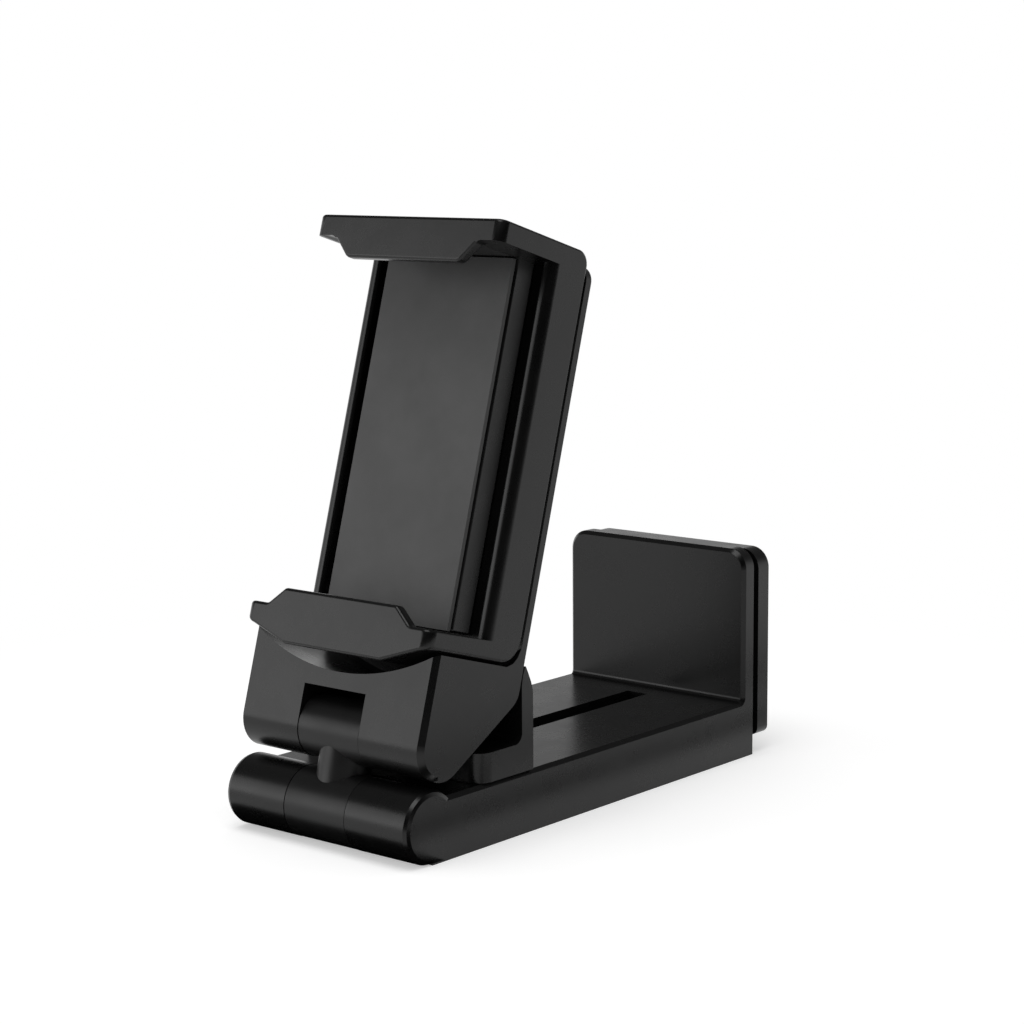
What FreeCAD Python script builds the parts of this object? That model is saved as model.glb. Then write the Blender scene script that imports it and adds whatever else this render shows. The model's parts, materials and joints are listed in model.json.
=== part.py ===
import FreeCAD
import Part
import Sketcher
import os
from math import cos, radians, sin
from types import SimpleNamespace

# Clamp-on phone holder with a double hinge. Millimetres, +Z up.
# The base stands on the floor, X runs across it and Y runs from the hinge to the wall.
# Three frames are used: the base frame has its origin on the floor under the lower hinge,
# the link frame has its origin on the lower hinge and leans back with the round neck,
# and the grip frame has its origin on the upper hinge and leans back with the phone clamp.
# In the grip frame Y is depth, positive towards the back, and Z runs up the clamp.

SIZES = (
    ("width", 42.0),             # base, foot and phone clamp
    ("fit_gap", 0.1),            # between parts that lie in each other
    ("side_gap", 0.15),          # between a knuckle and the barrels beside it
    ("barrel_r", 6.25),          # lower hinge barrel
    ("foot_r", 5.5),             # round end of the foot at the upper hinge
    ("barrel_gap", 1.28),        # between lower barrel and foot
    ("lean", 12.86),             # degrees that the neck leans back
    ("tilt", 16.36),             # degrees that the phone clamp leans back
    ("knuckle_w", 13.8),         # width of both knuckles
    ("neck_r", 4.6),             # round neck between the knuckles
    ("screw_r", 1.5),            # hinge screw shank
    ("screw_head_r", 2.6),
    ("screw_head_t", 2.0),
    ("insert_r", 2.6),           # threaded insert in the far barrel
    ("insert_l", 6.0),
    ("deck_rise", 4.55),         # top of the base above the lower hinge
    ("deck_t", 2.0),
    ("rail_t", 2.4),             # side rails of the base
    ("notch_gap", 0.35),         # open space round the lower knuckle
    ("cavity_y", 12.0),          # start of the space inside the base
    ("block_l", 4.2),            # solid block in front of the wall
    ("wall_y", 89.2),            # front of the upright wall
    ("wall_t", 3.2),
    ("wall_h", 29.3),            # above the deck
    ("wall_corner_r", 3.8),
    ("cover_t", 1.5),            # bottom cover
    ("cover_lap", 1.4),          # how far the cover laps over the cavity's edge
    ("pad_t", 0.8),              # grip pads of the base clamp
    ("jaw_t", 4.0),              # outer jaw plate
    ("jaw_low", 3.4),
    ("jaw_drop", 0.5),           # outer jaw's top below the wall's
    ("jaw_screw_in", 4.0),       # its screws, in from the slide bar's sides
    ("bar_inset", 10.0),         # slide bar of the base clamp, in from the sides
    ("bar_t", 3.4),
    ("bar_y", 13.5),
    ("bar_drop", 0.5),           # bar's running space under the deck
    ("slot_w", 4.7),             # slot in the deck
    ("slot_l", 70.4),
    ("push_gap", 0.4),           # thumb plate behind the rear plate
    ("push_rise", 10.35),        # its top above the upper hinge
    ("push_crown", 4.6),         # height of its rounded top
    ("push_t", 2.95),
    ("push_foot_t", 5.1),
    ("push_foot_l", 11.0),
    ("post_l", 9.0),             # its post in the slot
    ("small_screw_r", 1.0),
    ("small_head_r", 1.9),
    ("small_head_t", 1.0),
    ("spring_r", 2.1),           # base clamp springs
    ("spring_inset", 6.2),
    ("spring_y", 15.55),
    ("spring_l", 27.0),
    ("plate_back", 17.1),        # back of the rear plate behind the upper hinge
    ("plate_t", 1.4),
    ("plate_top", 85.0),
    ("plate_gap", 0.2),          # between rear plate and phone clamp
    ("foot_edge", 0.9),          # chamfer of the foot's front edges
    ("foot_top", 18.5),          # foot's sides before the round cut
    ("slope_rise", 0.38),        # foot's rear slope ends this far above the round cut
    ("window_top", 6.6),         # top of the window in the foot
    ("window_deep", 6.5),
    ("pivot_v", 53.5),           # turning axis of the phone clamp
    ("scoop_gap", 0.8),          # round cut in the foot, clear of the turning clamp's corners
    ("scoop_side_gap", 0.57),    # and at the sides
    ("scoop_round", 2.2),        # corner behind that cut, first flat step
    ("jaw_round", 4.4),          # lower jaw's round corner in front of it
    ("pivot_r", 7.0),            # boss of the turning axis
    ("key_r", 8.1),              # stop key on that boss
    ("key_half", 1.5),
    ("cap_r", 9.5),              # washer behind the rear plate
    ("cap_t", 1.0),
    ("rim_w", 6.3),              # front of the spine's rims
    ("groove_w", 9.7),           # floor of the grooves beside the panel
    ("floor_t", 1.5),
    ("side_t", 2.5),             # side walls of the spine
    ("panel_front", 3.8),
    ("panel_inset", 6.6),        # panel's edges, in from the sides
    ("panel_pad_t", 0.8),
    ("jaw_reach", 8.4),          # how far both jaws reach in front of the upper hinge
    ("arm_top", 18.9),           # top face of the lower jaw
    ("arm_low", 15.1),           # its lower edge at the sides
    ("hull_low", 12.5),          # its lowest face
    ("hull_flat", 0.53),         # share of the half width that this face takes
    ("hull_inset", 2.1),         # where the lower slopes end, in from the sides
    ("upper_low", 83.25),        # underside of the upper jaw
    ("upper_top", 87.0),
    ("lip_t", 2.2),              # front lips of both jaws
    ("lip_rise", 3.0),           # lower lip above the jaw face
    ("lip_drop", 3.75),          # upper lip below the jaw face
    ("lip_tip", 0.61),           # share of the half width that a lip's tip takes
    ("lip_root", 0.78),          # and its root
    ("back_cover_t", 1.5),
    ("back_cover_lap", 3.8),     # wider than the space behind the spine, on each side
    ("back_low", 22.0),          # lower edge of the back cover
    ("back_top", 80.0),
    ("back_cavity_gap", 1.0),    # beside the springs
    ("rib_half", 3.0),           # rib of the slider in the slot
    ("rib_low", 29.0),
    ("rib_l", 22.0),
    ("travel", 25.0),            # phone clamp opens by this
    ("keeper_t", 1.6),
    ("keeper_share", 0.31),      # of the half width
    ("grip_spring_r", 1.2),
    ("grip_spring_gap", 2.3),    # between keeper and springs
    ("low_head_t", 0.8),         # flat screw heads in the spine
    ("jaw_pad_t", 0.8),
    ("jaw_pad_share", 0.667),    # of the half width
    ("ear_l", 3.0),              # ears that the springs pull on
    ("wall_pad_inset", 3.0),     # pads of the base clamp, in from the sides
    ("wall_pad_low", 1.5),
    ("wall_pad_top", 2.5),
    ("cover_thread", 3.0),       # small screws in what they hold
    ("jaw_thread", 4.0),
    ("keeper_thread", 3.0),
    ("back_thread", 1.8),
)


class Size:
    """A value in millimetres or degrees with the sheet expression that it stands for."""

    def __init__(self, text, value):
        self.text = text
        self.value = float(value)

    def __add__(self, other):
        return join(self, "+", other)

    def __radd__(self, other):
        return join(other, "+", self)

    def __sub__(self, other):
        return join(self, "-", other)

    def __rsub__(self, other):
        return join(other, "-", self)

    def __mul__(self, other):
        return join(self, "*", other)

    def __rmul__(self, other):
        return join(other, "*", self)

    def __truediv__(self, other):
        return join(self, "/", other)

    def __neg__(self):
        return join(0.0, "-", self)


def sized(value):
    return value if isinstance(value, Size) else Size("%.6g" % value, value)


def join(a, sign, b):
    a, b = sized(a), sized(b)
    result = {
        "+": a.value + b.value,
        "-": a.value - b.value,
        "*": a.value * b.value,
        "/": a.value / b.value if b.value else 0.0,
    }[sign]
    return Size("(%s %s %s)" % (a.text, sign, b.text), result)


def sine(angle):
    return Size("sin(%s)" % angle.text, sin(radians(angle.value)))


def cosine(angle):
    return Size("cos(%s)" % angle.text, cos(radians(angle.value)))


def root(area):
    return Size("sqrt(%s)" % area.text, area.value ** 0.5)


def make_sheet(doc):
    sheet = doc.addObject("Spreadsheet::Sheet", "Sizes")
    sizes = SimpleNamespace()
    for row, (name, value) in enumerate(SIZES, start=1):
        sheet.set("A%d" % row, name)
        sheet.set("B%d" % row, str(value))
        sheet.setAlias("B%d" % row, name)
        setattr(sizes, name, Size("Sizes." + name, value))
    doc.recompute()
    return sizes


doc = FreeCAD.newDocument("phone_holder")
s = make_sheet(doc)
HALF = s.width / 2
LINK_L = s.barrel_r + s.barrel_gap + s.foot_r
LENGTH = s.barrel_r + s.wall_y + s.wall_t + 2 * s.pad_t + s.jaw_t
HINGE_Y = s.barrel_r - LENGTH / 2
END_Y = s.wall_y + s.wall_t
DECK_Z = s.barrel_r + s.deck_rise
WALL_TOP = DECK_Z + s.wall_h
JAW_TOP = WALL_TOP - s.jaw_drop
JAW_Y = END_Y + 2 * s.pad_t
KNUCKLE_HALF = s.knuckle_w / 2
BAR_TOP = DECK_Z - s.deck_t - s.bar_drop
BAR_LOW = BAR_TOP - s.bar_t
CAVITY_END = s.wall_y - s.block_l
CAVITY_HALF = HALF - s.rail_t
PLATE_FRONT = s.plate_back - s.plate_t
BACK = PLATE_FRONT - s.plate_gap
COVER_FRONT = BACK - s.back_cover_t
FLOOR_BACK = s.groove_w + s.floor_t
GROOVE_HALF = HALF - s.side_t
NOTCH_Y = s.barrel_r + s.notch_gap
BAR_HALF = HALF - s.bar_inset
SPRING_X = HALF - s.spring_inset
# the thumb plate's flat face stands clear of the rear plate, which leans back above it
PUSH_FACE = s.push_rise - 0.74 * s.push_crown
PUSH_AHEAD = (s.plate_back + s.push_gap + PUSH_FACE * sine(s.tilt)) / cosine(s.tilt)
PUSH_Y = LINK_L * sine(s.lean) + PUSH_AHEAD
PUSH_TOP = s.barrel_r + LINK_L * cosine(s.lean) + s.push_rise
PUSH_FOOT_Y = PUSH_Y - s.push_foot_l
POST_Y = PUSH_Y - s.post_l
SLOT_Y = POST_Y - 1
PANEL_HALF = HALF - s.panel_inset
HULL_FLAT = HALF * s.hull_flat
HULL_SIDE = HALF - s.hull_inset
HULL_CORNER = s.arm_low + 0.55
# the clamp's corners swing on a circle, and the cut passes below it and beside them
SWING_DROP = s.pivot_v - HULL_CORNER
SWING_R = root(HALF * HALF + SWING_DROP * SWING_DROP)
SCOOP_LOW = s.pivot_v - SWING_R - s.scoop_gap
SCOOP_DEEP = HULL_CORNER - s.scoop_side_gap - SCOOP_LOW
SCOOP_R = (HALF * HALF + SCOOP_DEEP * SCOOP_DEEP) / (2 * SCOOP_DEEP)
LIP_TIP = HALF * s.lip_tip
LIP_ROOT = HALF * s.lip_root
KEEPER_HALF = HALF * s.keeper_share
GRIP_SPRING_X = KEEPER_HALF + s.grip_spring_gap + s.grip_spring_r
BACK_CAVITY_HALF = GRIP_SPRING_X + s.grip_spring_r + s.back_cavity_gap
BACK_COVER_HALF = BACK_CAVITY_HALF + s.back_cover_lap

FRAMES = {
    "base": ((0.0, HINGE_Y, 0.0), 0.0),
    "low_hinge": ((0.0, HINGE_Y, s.barrel_r), 0.0),
    "link": ((0.0, HINGE_Y, s.barrel_r), -s.lean),
    "grip": (
        (0.0, HINGE_Y + LINK_L * sine(s.lean), s.barrel_r + LINK_L * cosine(s.lean)),
        -s.tilt,
    ),
}


def place(obj, frame):
    """Put an object that is drawn in one of the three frames where it stands at rest."""
    base, angle = FRAMES[frame]
    angle = sized(angle)
    spots = [sized(v) for v in base]
    obj.Placement = FreeCAD.Placement(
        FreeCAD.Vector(*[v.value for v in spots]),
        FreeCAD.Rotation(FreeCAD.Vector(1, 0, 0), angle.value),
    )
    for axis, size in zip("xyz", spots):
        obj.setExpression("Placement.Base." + axis, size.text)
    if angle.value:
        turn = "create(<<placement>>; create(<<vector>>; %s; %s; %s); " % tuple(
            v.text for v in spots
        )
        turn += "create(<<rotation>>; create(<<vector>>; 1; 0; 0); %s))" % angle.text
        for axis in "xyz":
            obj.setExpression("Placement.Base." + axis, None)
        obj.setExpression("Placement", turn)


def make_body(name, frame):
    body = doc.addObject("PartDesign::Body", name)
    body.Label = name
    place(body, frame)
    return body


def draw(body, plane, loops, level=0.0):
    """A sketch on one of the body's origin planes. A loop is a list of corners,
    or one tuple (x, y, radius) for a circle. Every corner is bound to the sheet."""
    number = len([o for o in body.Group if o.TypeId == "Sketcher::SketchObject"])
    sketch = body.newObject("Sketcher::SketchObject", "%s_sketch%d" % (body.Name, number))
    support = [o for o in body.Origin.OriginFeatures if o.Role == plane + "_Plane"][0]
    sketch.AttachmentSupport = [(support, "")]
    sketch.MapMode = "FlatFace"
    level = sized(level)
    if level.value:
        sketch.AttachmentOffset = FreeCAD.Placement(
            FreeCAD.Vector(0, 0, level.value), FreeCAD.Rotation()
        )
        sketch.setExpression("AttachmentOffset.Base.z", level.text)
    for loop in loops:
        if isinstance(loop, tuple):
            draw_circle(sketch, *[sized(v) for v in loop])
        else:
            draw_corners(sketch, [(sized(a), sized(b)) for a, b in loop])
    return sketch


def hold(sketch, kind, geometry, point, size):
    """Bind one coordinate of a point to the sheet."""
    if size.value == 0.0 and size.text in ("0", "-0"):
        axis = -2 if kind == "DistanceX" else -1
        sketch.addConstraint(Sketcher.Constraint("PointOnObject", geometry, point, axis))
        return
    index = sketch.addConstraint(
        Sketcher.Constraint(kind, -1, 1, geometry, point, size.value)
    )
    sketch.setExpression("Constraints[%d]" % index, size.text)


def draw_circle(sketch, x, y, radius):
    circle = Part.Circle(
        FreeCAD.Vector(x.value, y.value, 0), FreeCAD.Vector(0, 0, 1), radius.value
    )
    geometry = sketch.addGeometry(circle, False)
    hold(sketch, "DistanceX", geometry, 3, x)
    hold(sketch, "DistanceY", geometry, 3, y)
    index = sketch.addConstraint(Sketcher.Constraint("Radius", geometry, radius.value))
    sketch.setExpression("Constraints[%d]" % index, radius.text)


def draw_corners(sketch, corners):
    first = sketch.GeometryCount
    count = len(corners)
    for number, (x, y) in enumerate(corners):
        next_x, next_y = corners[(number + 1) % count]
        start = FreeCAD.Vector(x.value, y.value, 0)
        end = FreeCAD.Vector(next_x.value, next_y.value, 0)
        sketch.addGeometry(Part.LineSegment(start, end), False)
    for number in range(count):
        following = first + (number + 1) % count
        sketch.addConstraint(
            Sketcher.Constraint("Coincident", first + number, 2, following, 1)
        )
    for number, (x, y) in enumerate(corners):
        hold(sketch, "DistanceX", first + number, 1, x)
        hold(sketch, "DistanceY", first + number, 1, y)


def box(x0, y0, x1, y1):
    return [(x0, y0), (x1, y0), (x1, y1), (x0, y1)]


def extrude(body, kind, sketch, length, both=False, reverse=False):
    feature = body.newObject("PartDesign::" + kind, sketch.Name + "_" + kind.lower())
    feature.Profile = sketch
    feature.setExpression("Length", sized(length).text)
    if both:
        feature.SideType = "Symmetric"
    feature.Reversed = reverse
    doc.recompute()
    check_feature(body, feature)
    return feature


def check_feature(body, feature):
    if "Invalid" in feature.State or "Error" in feature.State or not feature.Shape.isValid():
        raise ValueError("%s in %s can't be built" % (feature.Name, body.Label))


def pad(body, plane, loops, length, both=False, level=0.0, reverse=False):
    return extrude(body, "Pad", draw(body, plane, loops, level), length, both, reverse)


def pocket(body, plane, loops, length, both=False, level=0.0, reverse=False):
    """Cut a pocket, and stop if it removes nothing."""
    before = body.Shape.Volume
    sketch = draw(body, plane, loops, level)
    feature = extrude(body, "Pocket", sketch, length, both, reverse)
    if feature.Shape.Volume > before - 1e-3:
        raise ValueError("%s in %s removes nothing" % (feature.Name, body.Label))
    return feature


def spin(body, loops, level=0.0, axis="H_Axis"):
    """Turn a profile on the XY plane round its horizontal axis, the X direction."""
    sketch = draw(body, "XY", loops, level)
    feature = body.newObject("PartDesign::Revolution", sketch.Name + "_turned")
    feature.Profile = sketch
    feature.ReferenceAxis = (sketch, [axis])
    feature.Angle = 360.0
    doc.recompute()
    check_feature(body, feature)
    return feature


def soften(body, kind, spots, size):
    """Fillet or chamfer the edges that lie nearest to the given points."""
    base = body.Tip
    shape = base.Shape
    names = []
    for spot in spots:
        x, y, z = [sized(v).value for v in spot]
        vertex = Part.Vertex(x, y, z)
        gaps = [edge.distToShape(vertex)[0] for edge in shape.Edges]
        name = "Edge%d" % (1 + gaps.index(min(gaps)))
        if name not in names:
            names.append(name)
    feature = body.newObject("PartDesign::" + kind, "%s_%s" % (body.Name, kind.lower()))
    feature.Base = (base, names)
    prop = "Radius" if kind == "Fillet" else "Size"
    feature.setExpression(prop, sized(size).text)
    doc.recompute()
    check_feature(body, feature)
    return feature


def rounded_roll(half, radius, soft):
    """Profile of a cylinder across X with softened ends."""
    corner = [(0.0, soft), (soft * 0.3, soft * 0.3), (soft, 0.0)]
    right = [(half - a, radius - b) for a, b in corner]
    left = [(-(half - a), radius - b) for a, b in reversed(corner)]
    return [(half, 0.0)] + right + left + [(-half, 0.0)]


def both_sides(x, y, z):
    return [(x, y, z), (-sized(x), y, z)]


def group(name, frame, members):
    """Several equal solids that share one node."""
    compound = doc.addObject("Part::Compound", name)
    compound.Label = name
    compound.Links = members
    place(compound, frame)
    return compound


def rod(name, spot, radius, length, direction=(0, 0, 1)):
    """A cylinder from a spot along a direction."""
    cylinder = doc.addObject("Part::Cylinder", name)
    cylinder.setExpression("Radius", sized(radius).text)
    cylinder.setExpression("Height", sized(length).text)
    cylinder.Placement = FreeCAD.Placement(
        FreeCAD.Vector(*[sized(v).value for v in spot]),
        FreeCAD.Rotation(FreeCAD.Vector(0, 0, 1), FreeCAD.Vector(*direction)),
    )
    for axis, value in zip("xyz", spot):
        cylinder.setExpression("Placement.Base." + axis, sized(value).text)
    return cylinder


def moved(spot, direction, way):
    return tuple(sized(v) + d * sized(way) for v, d in zip(spot, direction))


def machine_screw(name, spot, direction, head_r, head_t, shank_r, length):
    """A socket screw. The spot is the middle of the head's outer face."""
    head = rod(name + "_head", spot, head_r, head_t, direction)
    shank = rod(name + "_shank", moved(spot, direction, head_t), shank_r, length, direction)
    solid = doc.addObject("Part::Fuse", name + "_solid")
    solid.Base = head
    solid.Tool = shank
    socket = doc.addObject("Part::Prism", name + "_socket")
    socket.Polygon = 6
    socket.setExpression("Circumradius", (sized(head_r) * 0.5).text)
    socket.setExpression("Height", (sized(head_t) * 0.6).text)
    socket.Placement = head.Placement
    for axis, value in zip("xyz", spot):
        socket.setExpression("Placement.Base." + axis, sized(value).text)
    screw = doc.addObject("Part::Cut", name)
    screw.Base = solid
    screw.Tool = socket
    return screw


def screw_set(name, frame, spots, direction, length):
    screws = [
        machine_screw(
            "%s_%d" % (name, number), spot, direction,
            s.small_head_r, s.small_head_t, s.small_screw_r, length,
        )
        for number, spot in enumerate(spots)
    ]
    return group(name, frame, screws)


COVER_LOW = NOTCH_Y + s.fit_gap
COVER_HALF = CAVITY_HALF + s.cover_lap / 2
COVER_END = CAVITY_END + s.cover_lap * 3
COVER_SPOTS = [
    (0.0, NOTCH_Y + (s.cavity_y - NOTCH_Y) / 2),
    (0.0, COVER_END - s.small_head_r - 0.3),
]


def base_housing():
    body = make_body("base_housing", "base")
    side = [
        (0.0, 0.0), (END_Y, 0.0), (END_Y, WALL_TOP), (s.wall_y, WALL_TOP),
        (s.wall_y, DECK_Z), (0.0, DECK_Z),
    ]
    pad(body, "YZ", [side], s.width, both=True)
    soften(body, "Fillet", both_sides(HALF, s.wall_y + s.wall_t / 2, WALL_TOP), s.wall_corner_r)
    soften(body, "Fillet", [(0.0, s.wall_y, DECK_Z)], 0.8)
    soften(body, "Chamfer", [(0.0, s.wall_y, WALL_TOP)], 0.7)
    spin(body, [rounded_roll(HALF, s.barrel_r, 0.9)], s.barrel_r)
    notch = box(-s.barrel_r - 1, -1.0, NOTCH_Y, 2 * s.barrel_r + 1)
    pocket(body, "YZ", [notch], s.knuckle_w + 2 * s.side_gap, both=True)
    cavity = box(s.cavity_y, -1.0, CAVITY_END, DECK_Z - s.deck_t)
    pocket(body, "YZ", [cavity], 2 * CAVITY_HALF, both=True)
    seat = box(NOTCH_Y, -1.0, COVER_END + s.fit_gap, s.cover_t + s.fit_gap)
    pocket(body, "YZ", [seat], 2 * (COVER_HALF + s.fit_gap), both=True)
    tunnel = box(CAVITY_END - 1, BAR_LOW - s.fit_gap, END_Y + 1, BAR_TOP + s.fit_gap)
    pocket(body, "YZ", [tunnel], 2 * BAR_HALF + 2 * s.fit_gap, both=True)
    slot = box(SLOT_Y, DECK_Z - s.deck_t - 1, SLOT_Y + s.slot_l, DECK_Z + 1)
    pocket(body, "YZ", [slot], s.slot_w, both=True)
    holes = [(x, y, s.small_screw_r + 0.03) for x, y in COVER_SPOTS]
    pocket(body, "XY", holes, 4.4, reverse=True)
    pins = [(x * SPRING_X, s.cavity_y + 2.5, s.small_screw_r + 0.03) for x in (-1.0, 1.0)]
    pocket(body, "XY", pins, 1.0, level=DECK_Z - s.deck_t, reverse=True)
    hinge_holes(body, s.barrel_r, s.barrel_r)
    return body


def hinge_holes(body, axis_z, skin_r):
    """The hinge screw's way through both barrel ends, its head's seat and the insert's seat."""
    through = HALF + KNUCKLE_HALF + s.side_gap + s.insert_l + 2
    pocket(body, "YZ", [(0.0, axis_z, s.screw_r + 0.05)], through, level=-HALF, reverse=True)
    head = [(0.0, axis_z, s.screw_head_r + 0.1)]
    pocket(body, "YZ", head, s.screw_head_t + 0.4, level=-HALF, reverse=True)
    seat = [(0.0, axis_z, s.insert_r + 0.02)]
    pocket(body, "YZ", seat, s.insert_l, level=KNUCKLE_HALF + s.side_gap, reverse=True)


def hinge_screw(name, frame):
    """Turned screw with a hex socket in its head, which lies sunk in the left barrel end."""
    body = make_body(name, frame)
    face = -HALF + 0.4
    tip = KNUCKLE_HALF + s.side_gap + s.insert_l
    shape = [
        (face, 0.0), (face, s.screw_head_r), (face + s.screw_head_t, s.screw_head_r),
        (face + s.screw_head_t, s.screw_r), (tip, s.screw_r), (tip, 0.0),
    ]
    spin(body, [shape])
    hexagon = [
        (1.3 * cos(radians(60 * k)), 1.3 * sin(radians(60 * k))) for k in range(6)
    ]
    pocket(body, "YZ", [hexagon], 1.2, level=face, reverse=True)
    return body


def hinge_insert(name, frame):
    body = make_body(name, frame)
    start = KNUCKLE_HALF + s.side_gap + 0.05
    ring = box(start, s.screw_r + 0.05, KNUCKLE_HALF + s.side_gap + s.insert_l - 0.05, s.insert_r)
    spin(body, [ring])
    return body


SEAT_LOW = s.screw_r + 0.5
GROOVE_Z = SEAT_LOW + 1.0
PIN_R = sized(0.45)


def lower_knuckle():
    body = make_body("lower_knuckle", "link")
    pad(body, "YZ", [(0.0, 0.0, s.barrel_r - 0.05)], s.knuckle_w, both=True)
    pocket(
        body, "XY", [(0.0, 0.0, s.neck_r + 0.05)], s.barrel_r,
        level=SEAT_LOW, reverse=True,
    )
    pin = [(s.neck_r - 0.1, GROOVE_Z, PIN_R + 0.02)]
    pocket(body, "YZ", pin, s.knuckle_w - 2, both=True)
    pocket(body, "YZ", [(0.0, 0.0, s.screw_r + 0.05)], s.knuckle_w + 1, both=True)
    return body


def upper_knuckle():
    """Knuckle with the round neck that turns in the lower knuckle."""
    body = make_body("upper_knuckle", "link")
    pad(body, "XY", [(0.0, 0.0, s.neck_r)], LINK_L - SEAT_LOW - 0.1, level=SEAT_LOW + 0.1)
    round_end = [(0.0, LINK_L, s.foot_r - 0.1)]
    pad(body, "YZ", round_end, s.knuckle_w, both=True)
    pocket(body, "YZ", [(0.0, LINK_L, s.screw_r + 0.05)], s.knuckle_w + 1, both=True)
    sketch = draw(
        body, "YZ",
        [box(s.neck_r - PIN_R - 0.15, GROOVE_Z - PIN_R - 0.05, s.neck_r + 1, GROOVE_Z + PIN_R + 0.05)],
    )
    groove = body.newObject("PartDesign::Groove", "neck_groove")
    groove.Profile = sketch
    groove.ReferenceAxis = (sketch, ["V_Axis"])
    groove.Angle = 360.0
    doc.recompute()
    check_feature(body, groove)
    return body


def swivel_pin():
    """Cross pin that lies in the neck's groove and holds it down."""
    spot = (-KNUCKLE_HALF + 1.5, s.neck_r - 0.1, GROOVE_Z)
    pin = rod("swivel_pin_rod", spot, PIN_R, s.knuckle_w - 3, (1, 0, 0))
    return group("swivel_pin", "link", [pin])


def bottom_cover():
    body = make_body("bottom_cover", "base")
    plate = box(-COVER_HALF, COVER_LOW, COVER_HALF, COVER_END)
    pad(body, "XY", [plate], s.cover_t)
    holes = [(x, y, s.small_screw_r + 0.1) for x, y in COVER_SPOTS]
    pocket(body, "XY", holes, s.cover_t + 1, level=-0.5, reverse=True)
    heads = [(x, y, s.small_head_r + 0.1) for x, y in COVER_SPOTS]
    pocket(body, "XY", heads, s.small_head_t, reverse=True)
    return body


def cover_screws():
    spots = [(x, y, 0.0) for x, y in COVER_SPOTS]
    return screw_set("cover_screws", "base", spots, (0, 0, 1), s.cover_thread)


def grip_pad(name, start):
    body = make_body(name, "base")
    side = HALF - s.wall_pad_inset
    face = box(-side, DECK_Z + s.wall_pad_low, side, WALL_TOP - s.wall_pad_top)
    pad(body, "XZ", [face], s.pad_t, level=-(start + s.pad_t))
    return body


JAW_SCREWS = [
    (side * (BAR_HALF - s.jaw_screw_in), BAR_LOW + s.bar_t / 2) for side in (-1.0, 1.0)
]
PUSH_SCREWS = [(0.0, POST_Y + s.post_l / 2)]


def slide_bar():
    """Flat bar in the base with two ears for the springs."""
    body = make_body("slide_bar", "base")
    pad(body, "YZ", [box(s.bar_y, BAR_LOW, JAW_Y, BAR_TOP)], 2 * BAR_HALF, both=True)
    ear_y = s.spring_y + s.spring_l
    ears = box(ear_y, BAR_LOW, ear_y + s.ear_l, BAR_TOP)
    pad(body, "YZ", [ears], 2 * (SPRING_X + s.spring_r), both=True)
    lighten = box(PUSH_Y + 8, BAR_LOW - 1, ear_y - 4, BAR_TOP + 1)
    pocket(body, "YZ", [lighten], 2 * BAR_HALF - 8, both=True)
    holes = [(x, y, s.small_screw_r + 0.05) for x, y in PUSH_SCREWS]
    pocket(body, "XY", holes, s.bar_t + 2, level=BAR_LOW - 1, reverse=True)
    ends = [(x, z, s.small_screw_r + 0.03) for x, z in JAW_SCREWS]
    pocket(body, "XZ", ends, s.jaw_thread + 4, level=-JAW_Y, reverse=True)
    return body


def outer_jaw():
    body = make_body("outer_jaw", "base")
    side = box(JAW_Y, s.jaw_low, JAW_Y + s.jaw_t, JAW_TOP)
    pad(body, "YZ", [side], s.width, both=True)
    middle = JAW_Y + s.jaw_t / 2
    soften(body, "Fillet", both_sides(HALF, middle, JAW_TOP), s.wall_corner_r)
    soften(body, "Fillet", both_sides(HALF, middle, s.jaw_low), 1.5)
    soften(body, "Chamfer", [(0.0, JAW_Y + s.jaw_t, JAW_TOP)], 0.6)
    holes = [(x, z, s.small_screw_r + 0.1) for x, z in JAW_SCREWS]
    pocket(body, "XZ", holes, s.jaw_t + 2, level=-(JAW_Y - 1), reverse=False)
    heads = [(x, z, s.small_head_r + 0.1) for x, z in JAW_SCREWS]
    pocket(body, "XZ", heads, s.small_head_t + 0.2, level=-(JAW_Y + s.jaw_t), reverse=True)
    return body


def jaw_screws():
    spots = [(x, JAW_Y + s.jaw_t - 0.2, z) for x, z in JAW_SCREWS]
    return screw_set("outer_jaw_screws", "base", spots, (0, -1, 0), s.jaw_t + s.jaw_thread)


def thumb_pusher():
    """L-shaped pusher on the deck with the post that stands on the slide bar."""
    body = make_body("thumb_pusher", "base")
    low = DECK_Z + s.fit_gap
    foot = low + s.push_foot_t
    back = PUSH_Y + s.push_t
    crown = [
        (back, 1.0), (back - 0.15 * s.push_t, 0.68), (back - 0.42 * s.push_t, 0.3),
        (PUSH_Y + 0.38 * s.push_t, 0.04), (PUSH_Y + 0.3 * s.push_t, 0.06),
        (PUSH_Y + 0.12 * s.push_t, 0.35), (PUSH_Y, 0.74),
    ]
    side = [(PUSH_FOOT_Y, low), (back, low)]
    side += [(y, PUSH_TOP - drop * s.push_crown) for y, drop in crown]
    side += [(PUSH_Y, foot), (PUSH_FOOT_Y, foot)]
    pad(body, "YZ", [side], s.width, both=True)
    soften(body, "Fillet", [(0.0, PUSH_Y, foot)], 1.8)
    soften(body, "Fillet", both_sides(HALF, PUSH_FOOT_Y, low + 1), 3.0)
    post = box(POST_Y, BAR_TOP, PUSH_Y, low + 1)
    pad(body, "YZ", [post], s.slot_w - 2 * s.fit_gap, both=True)
    holes = [(x, y, s.small_screw_r + 0.03) for x, y in PUSH_SCREWS]
    pocket(body, "XY", holes, 4.5, level=BAR_TOP, reverse=True)
    return body


def pusher_screw():
    spots = [(x, y, BAR_LOW - s.small_head_t) for x, y in PUSH_SCREWS]
    return screw_set("pusher_screw", "base", spots, (0, 0, 1), s.bar_t + s.jaw_thread)


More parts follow.
